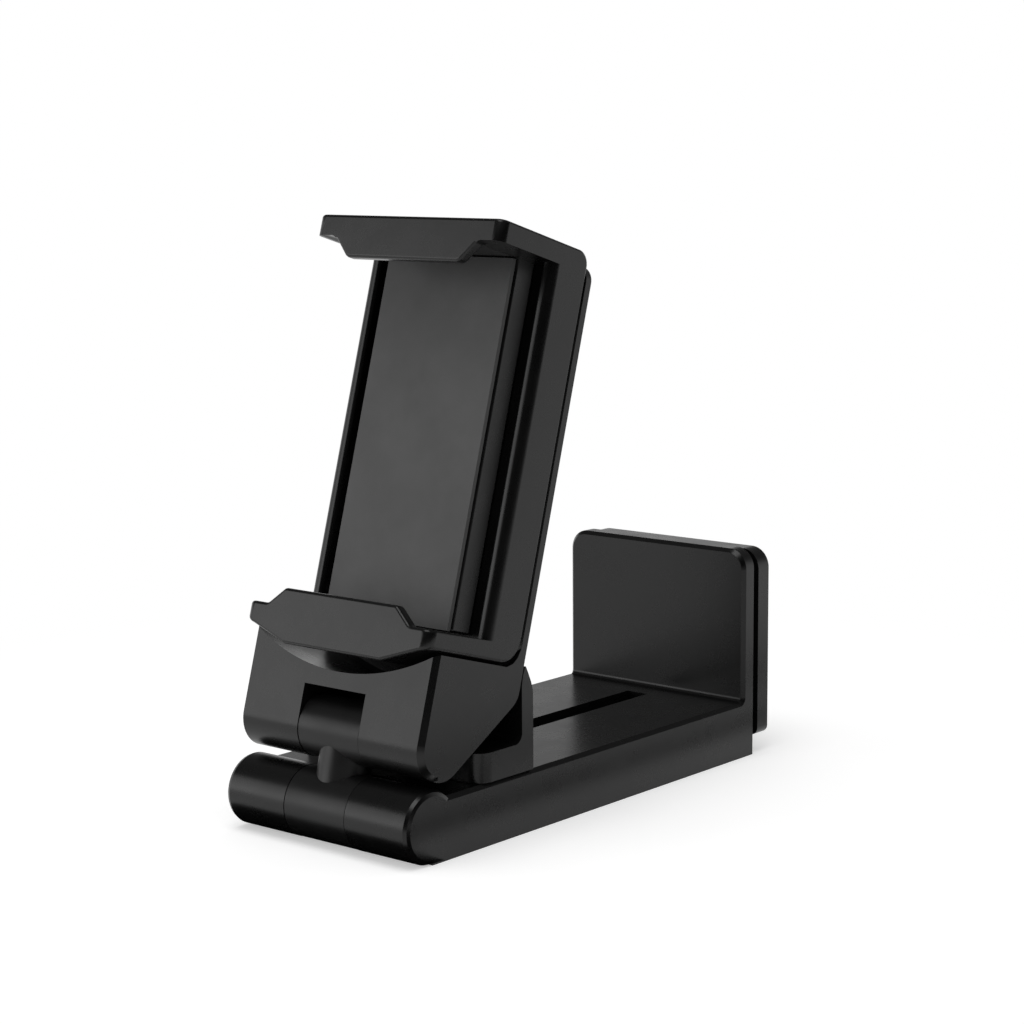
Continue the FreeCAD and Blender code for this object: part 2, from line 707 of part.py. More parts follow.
def spring(name, spot, radius, wall, length, direction):
    """A close-wound extension spring as its sleeve of touching turns."""
    outer = rod(name + "_out", spot, radius, length, direction)
    start = moved(spot, direction, -0.5)
    inner = rod(name + "_in", start, sized(radius) - wall, sized(length) + 1, direction)
    sleeve = doc.addObject("Part::Cut", name)
    sleeve.Base = outer
    sleeve.Tool = inner
    return sleeve


SPRING_Z = BAR_LOW + s.bar_t / 2


def clamp_springs():
    springs = [
        spring(
            "clamp_spring_%d" % number, (side * SPRING_X, s.spring_y, SPRING_Z),
            s.spring_r, 0.6, s.spring_l, (0, 1, 0),
        )
        for number, side in enumerate((-1.0, 1.0))
    ]
    return group("clamp_springs", "base", springs)


def spring_pins():
    """Pins that the fixed ends of the base springs hang on."""
    low = s.cover_t + s.fit_gap + 0.1
    pins = [
        rod(
            "spring_pin_%d" % number, (side * SPRING_X, s.cavity_y + 2.5, low),
            s.small_screw_r, DECK_Z - s.deck_t + 0.9 - low,
        )
        for number, side in enumerate((-1.0, 1.0))
    ]
    return group("spring_pins", "base", pins)


def rear_bracket():
    """Rear plate and foot in one piece, with the round scoop, the window and the hinge seat."""
    body = make_body("rear_bracket", "grip")
    # the rear slope runs from the plate's back to where it touches the round end
    corner_z = SCOOP_LOW + s.slope_rise
    reach2 = s.plate_back * s.plate_back + corner_z * corner_z
    run = root(reach2 - s.foot_r * s.foot_r)
    touch_y = s.foot_r * (s.foot_r * s.plate_back + corner_z * run) / reach2
    touch_z = s.foot_r * (s.foot_r * corner_z - s.plate_back * run) / reach2
    side = [
        (-s.foot_r, 0.0), (0.0, 0.0), (touch_y, touch_z), (s.plate_back, corner_z),
        (s.plate_back, s.plate_top), (PLATE_FRONT, s.plate_top), (PLATE_FRONT, s.foot_top),
        (-s.foot_r, s.foot_top),
    ]
    pad(body, "YZ", [side], s.width, both=True)
    pad(body, "YZ", [(0.0, 0.0, s.foot_r)], s.width, both=True)
    soften(body, "Fillet", [(0.0, s.plate_back, corner_z)], 4.0)
    deep = s.foot_r + 1 + PLATE_FRONT
    scoop = [(0.0, SCOOP_LOW + SCOOP_R, SCOOP_R)]
    pocket(body, "XZ", scoop, deep, level=-PLATE_FRONT, reverse=True)
    # its corner with the plate is rounded off in flat steps
    first = s.scoop_round
    soften(body, "Chamfer", [(0.0, PLATE_FRONT, SCOOP_LOW)], first)
    steps = [(0.0, PLATE_FRONT, SCOOP_LOW + first), (0.0, PLATE_FRONT - first, SCOOP_LOW)]
    soften(body, "Chamfer", steps, 0.4 * first)
    soften(body, "Fillet", both_sides(HALF, PLATE_FRONT + s.plate_t / 2, s.plate_top), 3.0)
    front_edges(body)
    window = box(-s.foot_r - 1, -s.foot_r - 1, s.window_deep, s.window_top)
    pocket(body, "YZ", [window], s.knuckle_w + 2 * s.side_gap, both=True)
    hinge_holes(body, 0.0, s.foot_r)
    hole = [(0.0, s.pivot_v, s.pivot_r + s.fit_gap)]
    pocket(body, "XZ", hole, s.plate_t + 2, level=-(s.plate_back + 1), reverse=True)
    key_way(body)
    return body


def front_edges(body):
    """Broad chamfers on the foot's front edges and round its lower end to the bottom."""
    front, size = -s.foot_r, s.foot_edge
    wedges = [
        [
            (side * (HALF - size - 1), front - 1), (side * (HALF + 1), front - 1),
            (side * (HALF + 1), front + size + 1),
        ]
        for side in (-1.0, 1.0)
    ]
    pocket(body, "XY", wedges, s.foot_top, reverse=True)
    sketch = draw(body, "XY", wedges)
    groove = body.newObject("PartDesign::Groove", "round_front_edges")
    groove.Profile = sketch
    groove.ReferenceAxis = (sketch, ["H_Axis"])
    groove.Angle = 90.0
    doc.recompute()
    check_feature(body, groove)


def key_way(body):
    """Half ring round the pivot hole, where the stop key swings a quarter turn each way."""
    top = s.key_half + 0.05
    radius = s.key_r + 2 * s.fit_gap
    reach = root(radius * radius - top * top)
    sketch = draw(body, "XZ", [], level=-(s.plate_back + 1))
    start = FreeCAD.Vector(-reach.value, s.pivot_v.value + top.value, 0)
    end = FreeCAD.Vector(reach.value, start.y, 0)
    low = FreeCAD.Vector(0, s.pivot_v.value - radius.value, 0)
    arc = sketch.addGeometry(Part.Arc(start, low, end), False)
    line = sketch.addGeometry(Part.LineSegment(start, end), False)
    hold(sketch, "DistanceX", line, 1, -reach)
    hold(sketch, "DistanceY", line, 1, s.pivot_v + top)
    hold(sketch, "DistanceX", line, 2, reach)
    hold(sketch, "DistanceY", line, 2, s.pivot_v + top)
    sketch.addConstraint(Sketcher.Constraint("Coincident", arc, 1, line, 1))
    sketch.addConstraint(Sketcher.Constraint("Coincident", arc, 2, line, 2))
    index = sketch.addConstraint(Sketcher.Constraint("Radius", arc, radius.value))
    sketch.setExpression("Constraints[%d]" % index, radius.text)
    extrude(body, "Pocket", sketch, s.plate_t + 2, reverse=True)


def hull():
    """Outline of the lower jaw from the front, with its sloping lower edges."""
    return [
        (-HALF, s.arm_top), (-HALF, HULL_CORNER), (-HULL_SIDE, s.arm_low),
        (-HULL_FLAT, s.hull_low), (HULL_FLAT, s.hull_low), (HULL_SIDE, s.arm_low),
        (HALF, HULL_CORNER), (HALF, s.arm_top),
    ]


def clamp_frame():
    """Spine channel and lower jaw in one piece."""
    body = make_body("clamp_frame", "grip")
    depth = BACK + s.jaw_reach
    pad(body, "XZ", [hull()], depth, level=-BACK)
    spine = box(s.rim_w, s.arm_top - 1, BACK, s.upper_low)
    pad(body, "YZ", [spine], s.width, both=True)
    lip = [
        (-LIP_ROOT, s.arm_top - 1), (LIP_ROOT, s.arm_top - 1), (LIP_ROOT, s.arm_top),
        (LIP_TIP, s.arm_top + s.lip_rise), (-LIP_TIP, s.arm_top + s.lip_rise),
        (-LIP_ROOT, s.arm_top),
    ]
    pad(body, "XZ", [lip], s.lip_t, level=s.jaw_reach - s.lip_t)
    middle = (HULL_FLAT + HULL_SIDE) / 2
    slope_z = (s.hull_low + s.arm_low) / 2
    low = [(0.0, BACK, s.hull_low)] + both_sides(middle, BACK, slope_z)
    corner = both_sides((HULL_SIDE + HALF) / 2, BACK, (s.arm_low + HULL_CORNER) / 2)
    soften(body, "Fillet", low + corner, s.jaw_round)
    front = -s.jaw_reach
    soften(body, "Fillet", both_sides(HALF, front, s.arm_top - 1), 1.8)
    tips = both_sides(LIP_TIP, -s.jaw_reach + 1, s.arm_top + s.lip_rise)
    soften(body, "Fillet", tips, 1.0)
    soften(body, "Fillet", both_sides(LIP_ROOT, -s.jaw_reach + 1, s.arm_top), 1.5)
    soften(body, "Fillet", both_sides(HALF, s.rim_w, s.pivot_v), 1.6)
    groove = box(s.rim_w - 1, s.arm_top, s.groove_w, s.upper_low + 1)
    pocket(body, "YZ", [groove], 2 * GROOVE_HALF, both=True)
    cavity = box(FLOOR_BACK, s.back_low, BACK + 1, s.back_top)
    pocket(body, "YZ", [cavity], 2 * BACK_CAVITY_HALF, both=True)
    rebate = box(COVER_FRONT, s.back_low - 2, BACK + 1, s.back_top + 1)
    pocket(body, "YZ", [rebate], 2 * (BACK_COVER_HALF + s.fit_gap), both=True)
    slot_top = s.rib_low + s.rib_l + s.travel + 0.5
    slot = box(s.groove_w - 1, s.rib_low - 0.5, FLOOR_BACK + 1, slot_top)
    pocket(body, "YZ", [slot], 2 * (s.rib_half + s.fit_gap), both=True)
    pad_seat = box(LOW_PAD[0], s.arm_top - s.jaw_pad_t, LOW_PAD[1], s.arm_top + 1)
    pocket(body, "YZ", [pad_seat], 2 * PAD_HALF, both=True)
    holes = [(x, z, s.small_screw_r + 0.03) for x, z in BACK_SPOTS]
    pocket(body, "XZ", holes, 3.0, level=-COVER_FRONT, reverse=True)
    return body


LOW_PAD = (-s.jaw_reach + s.lip_t + 0.6, s.panel_front - 0.8)
PAD_HALF = HALF * s.jaw_pad_share
BACK_SPOT_X = BACK_COVER_HALF - s.small_head_r - 0.2
BACK_SPOTS = [(-BACK_SPOT_X, s.back_low + 2), (BACK_SPOT_X, s.back_top - 3)]


def jaw_pad(name, low, high, z0):
    body = make_body(name, "grip")
    side = box(low + 0.05, z0, high - 0.05, z0 + s.jaw_pad_t)
    pad(body, "YZ", [side], 2 * PAD_HALF - 0.1, both=True)
    return body


def clamp_slider():
    """Upper jaw with the raised panel that runs in the spine channel."""
    body = make_body("clamp_slider", "grip")
    jaw = box(-s.jaw_reach, s.upper_low, BACK, s.upper_top)
    pad(body, "YZ", [jaw], s.width, both=True)
    soften(body, "Fillet", [(0.0, BACK, s.upper_top)], 2.6)
    soften(body, "Fillet", both_sides(HALF, -s.jaw_reach, s.upper_top - 1), 1.8)
    drop = s.upper_low - s.lip_drop
    lip = [
        (-LIP_ROOT, s.upper_low + 1), (-LIP_ROOT, s.upper_low), (-LIP_TIP, drop),
        (LIP_TIP, drop), (LIP_ROOT, s.upper_low), (LIP_ROOT, s.upper_low + 1),
    ]
    pad(body, "XZ", [lip], s.lip_t, level=s.jaw_reach - s.lip_t)
    soften(body, "Fillet", both_sides(LIP_TIP, -s.jaw_reach + 1, drop), 1.6)
    soften(body, "Fillet", both_sides(LIP_ROOT, -s.jaw_reach + 1, s.upper_low), 1.6)
    low = s.arm_top + 0.2
    front = s.panel_front + s.panel_pad_t
    panel = box(front, low, s.groove_w - s.fit_gap, s.upper_low + 1)
    pad(body, "YZ", [panel], 2 * PANEL_HALF, both=True)
    hollow = box(front + 2.0, low + 2, s.groove_w + 1, s.upper_low - 2)
    pocket(body, "YZ", [hollow], 2 * PANEL_HALF - 4, both=True)
    rib = box(front + 1.0, s.rib_low, FLOOR_BACK + 0.1, s.rib_low + s.rib_l)
    pad(body, "YZ", [rib], 2 * s.rib_half, both=True)
    holes = [(x, z, s.small_screw_r + 0.03) for x, z in KEEPER_SPOTS]
    pocket(body, "XZ", holes, 4.0, level=-(FLOOR_BACK + 0.1), reverse=True)
    pad_seat = box(UP_PAD[0], s.upper_low - 1, UP_PAD[1], s.upper_low + s.jaw_pad_t)
    pocket(body, "YZ", [pad_seat], 2 * PAD_HALF, both=True)
    return body


UP_PAD = (-s.jaw_reach + s.lip_t + 0.6, s.panel_front - 0.8)
KEEPER_SPOTS = [(0.0, s.rib_low + s.rib_l / 2)]


def phone_pad():
    body = make_body("phone_pad", "grip")
    low = s.arm_top + 0.4
    side = box(s.panel_front, low, s.panel_front + s.panel_pad_t, s.upper_low - 0.2)
    pad(body, "YZ", [side], 2 * PANEL_HALF - 0.6, both=True)
    return body


KEEPER_FRONT = FLOOR_BACK + 0.1
KEEPER_TOP = s.rib_low + s.rib_l - 0.5


def slider_keeper():
    """Plate behind the spine's floor that keeps the slider on, with ears for the springs."""
    body = make_body("slider_keeper", "grip")
    low, high = s.rib_low + 0.5, KEEPER_TOP
    side = box(KEEPER_FRONT, low, KEEPER_FRONT + s.keeper_t, high)
    pad(body, "YZ", [side], 2 * KEEPER_HALF, both=True)
    ears = box(KEEPER_FRONT, high - s.ear_l, KEEPER_FRONT + s.keeper_t, high)
    pad(body, "YZ", [ears], 2 * (GRIP_SPRING_X + s.grip_spring_r), both=True)
    holes = [(x, z, s.small_screw_r + 0.05) for x, z in KEEPER_SPOTS]
    pocket(body, "XZ", holes, s.keeper_t + 2, level=-(KEEPER_FRONT - 1))
    return body


def keeper_screw():
    spots = [(x, KEEPER_FRONT + s.keeper_t + s.low_head_t, z) for x, z in KEEPER_SPOTS]
    return flat_screws("keeper_screw", spots, s.keeper_t + s.keeper_thread)


def flat_screws(name, spots, length):
    screws = [
        machine_screw(
            "%s_%d" % (name, number), spot, (0, -1, 0),
            s.small_head_r, s.low_head_t, s.small_screw_r, length,
        )
        for number, spot in enumerate(spots)
    ]
    return group(name, "grip", screws)


def grip_springs():
    low = s.back_low
    springs = [
        spring(
            "phone_spring_%d" % number,
            (side * GRIP_SPRING_X, FLOOR_BACK + 0.1 + s.grip_spring_r, low),
            s.grip_spring_r, 0.35, KEEPER_TOP - s.ear_l - low, (0, 0, 1),
        )
        for number, side in enumerate((-1.0, 1.0))
    ]
    return group("phone_springs", "grip", springs)


def pivot_cover():
    """Cover of the spine's back with the boss that the phone clamp turns on."""
    body = make_body("pivot_cover", "grip")
    low, high = s.back_low - 2 + s.fit_gap, s.back_top + 1 - s.fit_gap
    pad(body, "YZ", [box(COVER_FRONT, low, BACK, high)], 2 * BACK_COVER_HALF, both=True)
    boss = [(0.0, s.pivot_v, s.pivot_r)]
    pad(body, "XZ", boss, s.plate_back + 0.05 - COVER_FRONT, level=-(s.plate_back + 0.05))
    key = box(-s.key_half, s.pivot_v - s.key_r, s.key_half, s.pivot_v)
    pad(body, "XZ", [key], s.plate_t + s.fit_gap, level=-(s.plate_back + 0.05))
    middle = [(0.0, s.pivot_v, s.screw_r + 0.02)]
    pocket(body, "XZ", middle, 8.0, level=-(s.plate_back + 1), reverse=True)
    holes = [(x, z, s.small_screw_r + 0.1) for x, z in BACK_SPOTS]
    pocket(body, "XZ", holes, s.back_cover_t + 2, level=-(BACK + 1), reverse=True)
    heads = [(x, z, s.small_head_r + 0.1) for x, z in BACK_SPOTS]
    pocket(body, "XZ", heads, s.low_head_t + 0.05, level=-BACK, reverse=True)
    return body


def back_screws():
    spots = [(x, BACK - 0.05, z) for x, z in BACK_SPOTS]
    return flat_screws("pivot_cover_screws", spots, s.back_cover_t + s.back_thread)


def pivot_screw():
    head_t = s.screw_head_t * 0.8
    spot = (0.0, s.plate_back + 0.05 + s.cap_t + head_t, s.pivot_v)
    screw = machine_screw(
        "pivot_screw", spot, (0, -1, 0), s.screw_head_r, head_t, s.screw_r, s.cap_t + 3,
    )
    place(screw, "grip")
    return screw


def pivot_washer():
    body = make_body("pivot_washer", "grip")
    start = s.plate_back + 0.05
    ring = [(0.0, s.pivot_v, s.cap_r)]
    pad(body, "XZ", ring, s.cap_t, level=-(start + s.cap_t))
    hole = [(0.0, s.pivot_v, s.screw_r + 0.1)]
    pocket(body, "XZ", hole, s.cap_t + 2, level=-(start + s.cap_t + 1), reverse=True)
    return body


parts = [
    base_housing(), bottom_cover(), cover_screws(), grip_pad("wall_pad", END_Y),
    hinge_screw("lower_hinge_screw", "low_hinge"), hinge_insert("lower_hinge_insert", "low_hinge"),
    slide_bar(), outer_jaw(), grip_pad("outer_jaw_pad", END_Y + s.pad_t), jaw_screws(),
    thumb_pusher(), pusher_screw(), clamp_springs(), spring_pins(),
    lower_knuckle(), upper_knuckle(), swivel_pin(),
    rear_bracket(), hinge_screw("upper_hinge_screw", "grip"),
    hinge_insert("upper_hinge_insert", "grip"),
    clamp_frame(), pivot_cover(), back_screws(), pivot_washer(), pivot_screw(),
    clamp_slider(), phone_pad(), slider_keeper(), keeper_screw(), grip_springs(),
    jaw_pad("lower_jaw_pad", LOW_PAD[0], LOW_PAD[1], s.arm_top - s.jaw_pad_t),
    jaw_pad("upper_jaw_pad", UP_PAD[0], UP_PAD[1], s.upper_low),
]
doc.recompute()

for obj in doc.Objects:
    if "Invalid" in obj.State or "Error" in obj.State:
        raise ValueError("%s can't be built: %s" % (obj.Label, obj.State))
os.makedirs("parts", exist_ok=True)
for part in parts:
    if part.Shape.isNull() or not part.Shape.isValid():
        raise ValueError("%s has no valid shape" % part.Label)
    part.Shape.exportStep("parts/%s.step" % part.Label)
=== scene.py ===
import json
import math

import bpy
from mathutils import Euler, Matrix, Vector

# Looks for the clamp-on phone holder: black moulded plastic with soft grip pads,
# in a plain white studio. Metres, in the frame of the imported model.

MM = 0.001

# the photograph's camera, found by matching the holder's edges
IMAGE_PX = 1024
FOCAL_PX = 2468.5
SENSOR_MM = 36.0
CLIP_START = 0.01
CAMERA_AT = Vector((281.8, -336.9, 119.7)) * MM
CAMERA_YAW = math.radians(39.9)
CAMERA_PITCH = math.radians(-8.9)
CAMERA_ROLL = math.radians(-0.4)

# noise texture: its own roughness, and the range in which most of it lies
NOISE_ROUGH = 0.6
NOISE_DETAIL = 3.0
NOISE_SPAN = (0.25, 0.75)

# plastic and rubber: linear grey from dark to light, roughness from low to high,
# noise scales per metre, grain as scale and strength
HOUSING_GREY, HOUSING_ROUGH = (0.0028, 0.0038), (0.25, 0.31)
INNER_GREY, INNER_ROUGH = (0.004, 0.006), (0.32, 0.4)
GRIP_GREY, GRIP_ROUGH = (0.068, 0.084), (0.50, 0.60)
PAD_GREY, PAD_ROUGH = (0.010, 0.014), (0.60, 0.70)
MOULDED_SPECULAR = 0.33
CLOUD_SCALE = 90.0
GLOSS_SCALE = 160.0
PLASTIC_GRAIN = (1800.0, 0.04)
RUBBER_GRAIN = (1200.0, 0.12)
GRAIN_DETAIL = 2.0
GRAIN_HEIGHT = 0.0001

# metal: colour of the light marks, roughness, stretch of the marks along x, y and z
STEEL = ((0.55, 0.55, 0.56), (0.28, 0.4), (1.0, 1.0, 4.0))
SPRING_STEEL = ((0.5, 0.5, 0.5), (0.25, 0.4), (1.0, 6.0, 1.0))
BRASS = ((0.72, 0.56, 0.25), (0.25, 0.35), (4.0, 1.0, 1.0))
MARK_SCALE = 900.0
MARK_DETAIL = 2.0
MARK_DARKEST = 0.85

# rounded edges of the phone clamp, measured from the upper hinge up its lean
ROUNDED_NODES = ("clamp_frame", "clamp_slider")
EDGE_ROUND = 0.6 * MM
EDGE_STEPS = 3
SHARP_FROM = math.radians(35.0)
WELD_WITHIN = 1e-6
FLAT_WITHIN = 0.005
PLACE_DIGITS = 6
UPPER_HINGE = Vector((0.0, -42.975, 18.953)) * MM
CLAMP_UP = Vector((0.0, 0.281672, 0.959511))
SEAM_HEIGHT = 83.25 * MM
SEAM_CLEAR = 0.4 * MM

# floor: its grey, the lift where it is seen, and where it fades to plain white
FLOOR_SIZE = 60.0
FLOOR_WHITE = 0.80
FLOOR_ROUGH = 0.9
FLOOR_LIFT = 0.42
FADE_NEAR = 0.06
FADE_FAR = 0.18

# world: its strength as a light, and the height of a direction at which the
# ceiling that is seen starts and stops dimming
SEEN_RAYS = ("Is Camera Ray", "Is Glossy Ray", "Is Transmission Ray")
SKY_LIGHT = 0.5
CEILING_FROM = 0.05
CEILING_TO = 0.42
CEILING_DIM = 0.12

# softboxes: name, azimuth, elevation, distance from the middle, side, watts
MIDDLE = Vector((0.0, 0.0, 0.05))
SOFTBOXES = (
    ("softbox_front_left", -38.0, 10.0, 0.8, 0.5, 1.35),
    ("softbox_top", 10.0, 74.0, 1.2, 0.7, 5.0),
)

# black cards: upright screens, and black strips of painted shade on the floor next to the
# holder, seen only in gloss (name, size, middle)
SCREEN_AZIMUTHS = (-5.0, 25.0, 55.0, 85.0, 113.0)
SCREEN_ELEVATION = 4.0
SCREEN_DISTANCE = 1.0
SCREEN_SIZE = (0.54, 1.2)
STRIP_LIFT = 0.3 * MM
# painted shade: black strips on the floor, seen only in gloss, stand for the floor's shade
# next to the holder in its reflections
PAINTED_SHADE_STRIPS = (
    ("painted_shade_front", (0.10, 0.014), (0.024, -0.050)),
    ("painted_shade_near", (0.007, 0.15), (0.036, 0.03)),
    ("painted_shade_right", (0.014, 0.20), (0.060, 0.06)),
)


def opaque(grey):
    return (grey, grey, grey, 1.0)


def new_material(name):
    material = bpy.data.materials.new(name)
    material.use_nodes = True
    tree = material.node_tree
    return material, tree, tree.nodes["Principled BSDF"]


def coordinates(tree):
    return tree.nodes.new("ShaderNodeTexCoord").outputs["Object"]


def noise(tree, place, scale, detail=NOISE_DETAIL):
    node = tree.nodes.new("ShaderNodeTexNoise")
    node.inputs["Scale"].default_value = scale
    node.inputs["Detail"].default_value = detail
    node.inputs["Roughness"].default_value = NOISE_ROUGH
    tree.links.new(place, node.inputs["Vector"])
    return node.outputs["Fac"]


def between(tree, value, span, low, high, curve="LINEAR"):
    """Goes from low to high while the value goes through the span."""
    node = tree.nodes.new("ShaderNodeMapRange")
    node.interpolation_type = curve
    node.inputs["From Min"].default_value = span[0]
    node.inputs["From Max"].default_value = span[1]
    node.inputs["To Min"].default_value = low
    node.inputs["To Max"].default_value = high
    tree.links.new(value, node.inputs["Value"])
    return node.outputs["Result"]


def spread(tree, cloud, low=0.0, high=1.0):
    """Stretches noise, which stays near its middle, over the full range."""
    return between(tree, cloud, NOISE_SPAN, low, high)


def blend(tree, value, dark, light):
    """Colour that runs from dark to light as the value goes from 0 to 1."""
    node = tree.nodes.new("ShaderNodeMix")
    node.data_type = "RGBA"
    node.inputs["A"].default_value = dark
    node.inputs["B"].default_value = light
    tree.links.new(value, node.inputs["Factor"])
    return node.outputs["Result"]


def moulded(name, greys, rough, grain):
    """Moulded plastic or rubber: cloudy tone, uneven gloss and a fine grain."""
    material, tree, shader = new_material(name)
    place = coordinates(tree)
    cloud = spread(tree, noise(tree, place, CLOUD_SCALE))
    tone = blend(tree, cloud, opaque(greys[0]), opaque(greys[1]))
    gloss = spread(tree, noise(tree, place, GLOSS_SCALE), *rough)
    tree.links.new(tone, shader.inputs["Base Color"])
    tree.links.new(gloss, shader.inputs["Roughness"])
    shader.inputs["Specular IOR Level"].default_value = MOULDED_SPECULAR
    scale, strength = grain
    bump = tree.nodes.new("ShaderNodeBump")
    bump.inputs["Strength"].default_value = strength
    bump.inputs["Distance"].default_value = GRAIN_HEIGHT
    tree.links.new(noise(tree, place, scale, GRAIN_DETAIL), bump.inputs["Height"])
    tree.links.new(bump.outputs["Normal"], shader.inputs["Normal"])
    return material


def metal(name, colour, rough, stretch):
    """Turned or drawn metal with fine marks along one direction."""
    material, tree, shader = new_material(name)
    mapping = tree.nodes.new("ShaderNodeMapping")
    mapping.inputs["Scale"].default_value = stretch
    tree.links.new(coordinates(tree), mapping.inputs["Vector"])
    marks = noise(tree, mapping.outputs["Vector"], MARK_SCALE, MARK_DETAIL)
    dark = [MARK_DARKEST * part for part in colour]
    tone = blend(tree, spread(tree, marks), (*dark, 1.0), (*colour, 1.0))
    tree.links.new(tone, shader.inputs["Base Color"])
    tree.links.new(spread(tree, marks, *rough), shader.inputs["Roughness"])
    shader.inputs["Metallic"].default_value = 1.0
    return material


def make_materials():
    moulds = {
        "housing_plastic": (HOUSING_GREY, HOUSING_ROUGH, PLASTIC_GRAIN),
        "jaw_plastic": (HOUSING_GREY, HOUSING_ROUGH, PLASTIC_GRAIN),
        "grip_rubber": (GRIP_GREY, GRIP_ROUGH, RUBBER_GRAIN),
        "pad_rubber": (PAD_GREY, PAD_ROUGH, RUBBER_GRAIN),
        "inner_plastic": (INNER_GREY, INNER_ROUGH, PLASTIC_GRAIN),
    }
    metals = {"steel": STEEL, "spring_steel": SPRING_STEEL, "brass_insert": BRASS}
    materials = {name: moulded(name, *look) for name, look in moulds.items()}
    materials.update((name, metal(name, *look)) for name, look in metals.items())
    return materials


def dress_nodes(frame):
    """Gives every node the material of its slot."""
    materials = make_materials()
    slots = {row["node"]: row["material_slot"] for row in frame["record"]["subparts"]}
    for name, node in frame["nodes"].items():
        node.data.materials.clear()
        node.data.materials.append(materials[slots[name]])


def on_seam(node, edge):
    """True for an edge of the seam between the phone clamp's frame and slider."""
    for index in edge.vertices:
        place = node.matrix_world @ node.data.vertices[index].co
        height = (place - UPPER_HINGE).dot(CLAMP_UP)
        if abs(height - SEAM_HEIGHT) >= SEAM_CLEAR:
            return False
    return True


def sharp_and_convex(faces):
    if len(faces) != 2:
        return False
    one, other = faces
    away = (other.center - one.center).dot(one.normal) < 0.0
    return away and one.normal.angle(other.normal, 0.0) > SHARP_FROM


def round_edges(node):
    """Rounds a moulded piece's outer edges, apart from the seam between the halves.

    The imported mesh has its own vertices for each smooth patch, so faces that
    meet at an edge are found by the places of its ends, and are welded first.
    """
    mesh = node.data

    def ends(vertices):
        places = (mesh.vertices[index].co for index in vertices)
        return frozenset(
            tuple(round(axis, PLACE_DIGITS) for axis in place) for place in places
        )

    faces = {}
    for polygon in mesh.polygons:
        for key in polygon.edge_keys:
            faces.setdefault(ends(key), []).append(polygon)
    weights = mesh.attributes.new("bevel_weight_edge", "FLOAT", "EDGE")
    for edge in mesh.edges:
        outer = sharp_and_convex(faces[ends(edge.vertices)])
        weights.data[edge.index].value = float(outer and not on_seam(node, edge))
    weld = node.modifiers.new("joined", "WELD")
    weld.merge_threshold = WELD_WITHIN
    planar = node.modifiers.new("planar", "DECIMATE")
    planar.decimate_type = "DISSOLVE"
    planar.angle_limit = FLAT_WITHIN
    bevel = node.modifiers.new("rounded", "BEVEL")
    bevel.limit_method = "WEIGHT"
    bevel.width = EDGE_ROUND
    bevel.segments = EDGE_STEPS
    bevel.use_clamp_overlap = False
    bevel.harden_normals = True


def seen_ray(tree):
    """1 for the rays that show the background and 0 for the rays that light by it."""
    path = tree.nodes.new("ShaderNodeLightPath")
    seen = path.outputs[SEEN_RAYS[0]]
    for name in SEEN_RAYS[1:]:
        either = tree.nodes.new("ShaderNodeMath")
        either.operation = "MAXIMUM"
        tree.links.new(seen, either.inputs[0])
        tree.links.new(path.outputs[name], either.inputs[1])
        seen = either.outputs["Value"]
    return seen


def make_floor():
    """White floor that keeps the holder's shadow near it and is plain white farther away."""
    bpy.ops.mesh.primitive_plane_add(size=FLOOR_SIZE, location=(0, 0, 0))
    floor = bpy.context.object
    floor.name = "floor"
    material, tree, shader = new_material("floor_white")
    shader.inputs["Base Color"].default_value = opaque(FLOOR_WHITE)
    shader.inputs["Roughness"].default_value = FLOOR_ROUGH
    shader.inputs["Specular IOR Level"].default_value = 0.0
    shader.inputs["Emission Color"].default_value = opaque(1.0)
    seen = seen_ray(tree)
    lift = between(tree, seen, (0.0, 1.0), 0.0, FLOOR_LIFT)
    tree.links.new(lift, shader.inputs["Emission Strength"])
    far = tree.nodes.new("ShaderNodeEmission")
    strength = between(tree, seen, (0.0, 1.0), SKY_LIGHT, 1.0)
    tree.links.new(strength, far.inputs["Strength"])
    distance = tree.nodes.new("ShaderNodeVectorMath")
    distance.operation = "LENGTH"
    tree.links.new(coordinates(tree), distance.inputs[0])
    span = (FADE_NEAR, FADE_FAR)
    fade = between(tree, distance.outputs["Value"], span, 0.0, 1.0, "SMOOTHSTEP")
    mix = tree.nodes.new("ShaderNodeMixShader")
    tree.links.new(fade, mix.inputs["Fac"])
    tree.links.new(shader.outputs["BSDF"], mix.inputs[1])
    tree.links.new(far.outputs["Emission"], mix.inputs[2])
    tree.links.new(mix.outputs["Shader"], tree.nodes["Material Output"].inputs["Surface"])
    floor.data.materials.append(material)


def make_world():
    """White round the horizon and dim overhead where it is seen, even as a light."""
    world = bpy.data.worlds.new("studio")
    bpy.context.scene.world = world
    world.use_nodes = True
    tree = world.node_tree
    background = tree.nodes["Background"]
    background.inputs["Color"].default_value = opaque(1.0)
    way = tree.nodes.new("ShaderNodeTexCoord").outputs["Generated"]
    axes = tree.nodes.new("ShaderNodeSeparateXYZ")
    tree.links.new(way, axes.inputs["Vector"])
    span = (CEILING_FROM, CEILING_TO)
    ceiling = between(tree, axes.outputs["Z"], span, 1.0, CEILING_DIM, "SMOOTHSTEP")
    level = tree.nodes.new("ShaderNodeMix")
    level.inputs["A"].default_value = SKY_LIGHT
    tree.links.new(seen_ray(tree), level.inputs["Factor"])
    tree.links.new(ceiling, level.inputs["B"])
    tree.links.new(level.outputs["Result"], background.inputs["Strength"])


def direction(azimuth, elevation):
    """Unit vector from the holder; 0 degrees is its front and 90 its right side."""
    a, e = math.radians(azimuth), math.radians(elevation)
    return Vector((math.sin(a) * math.cos(e), -math.cos(a) * math.cos(e), math.sin(e)))


def softbox(name, azimuth, elevation, distance, size, power):
    """Square area light that looks at the middle of the holder."""
    light = bpy.data.lights.new(name, "AREA")
    light.size = size
    light.energy = power
    lamp = bpy.data.objects.new(name, light)
    bpy.context.scene.collection.objects.link(lamp)
    way = direction(azimuth, elevation)
    lamp.location = MIDDLE + distance * way
    lamp.rotation_euler = (-way).to_track_quat("-Z", "Y").to_euler()


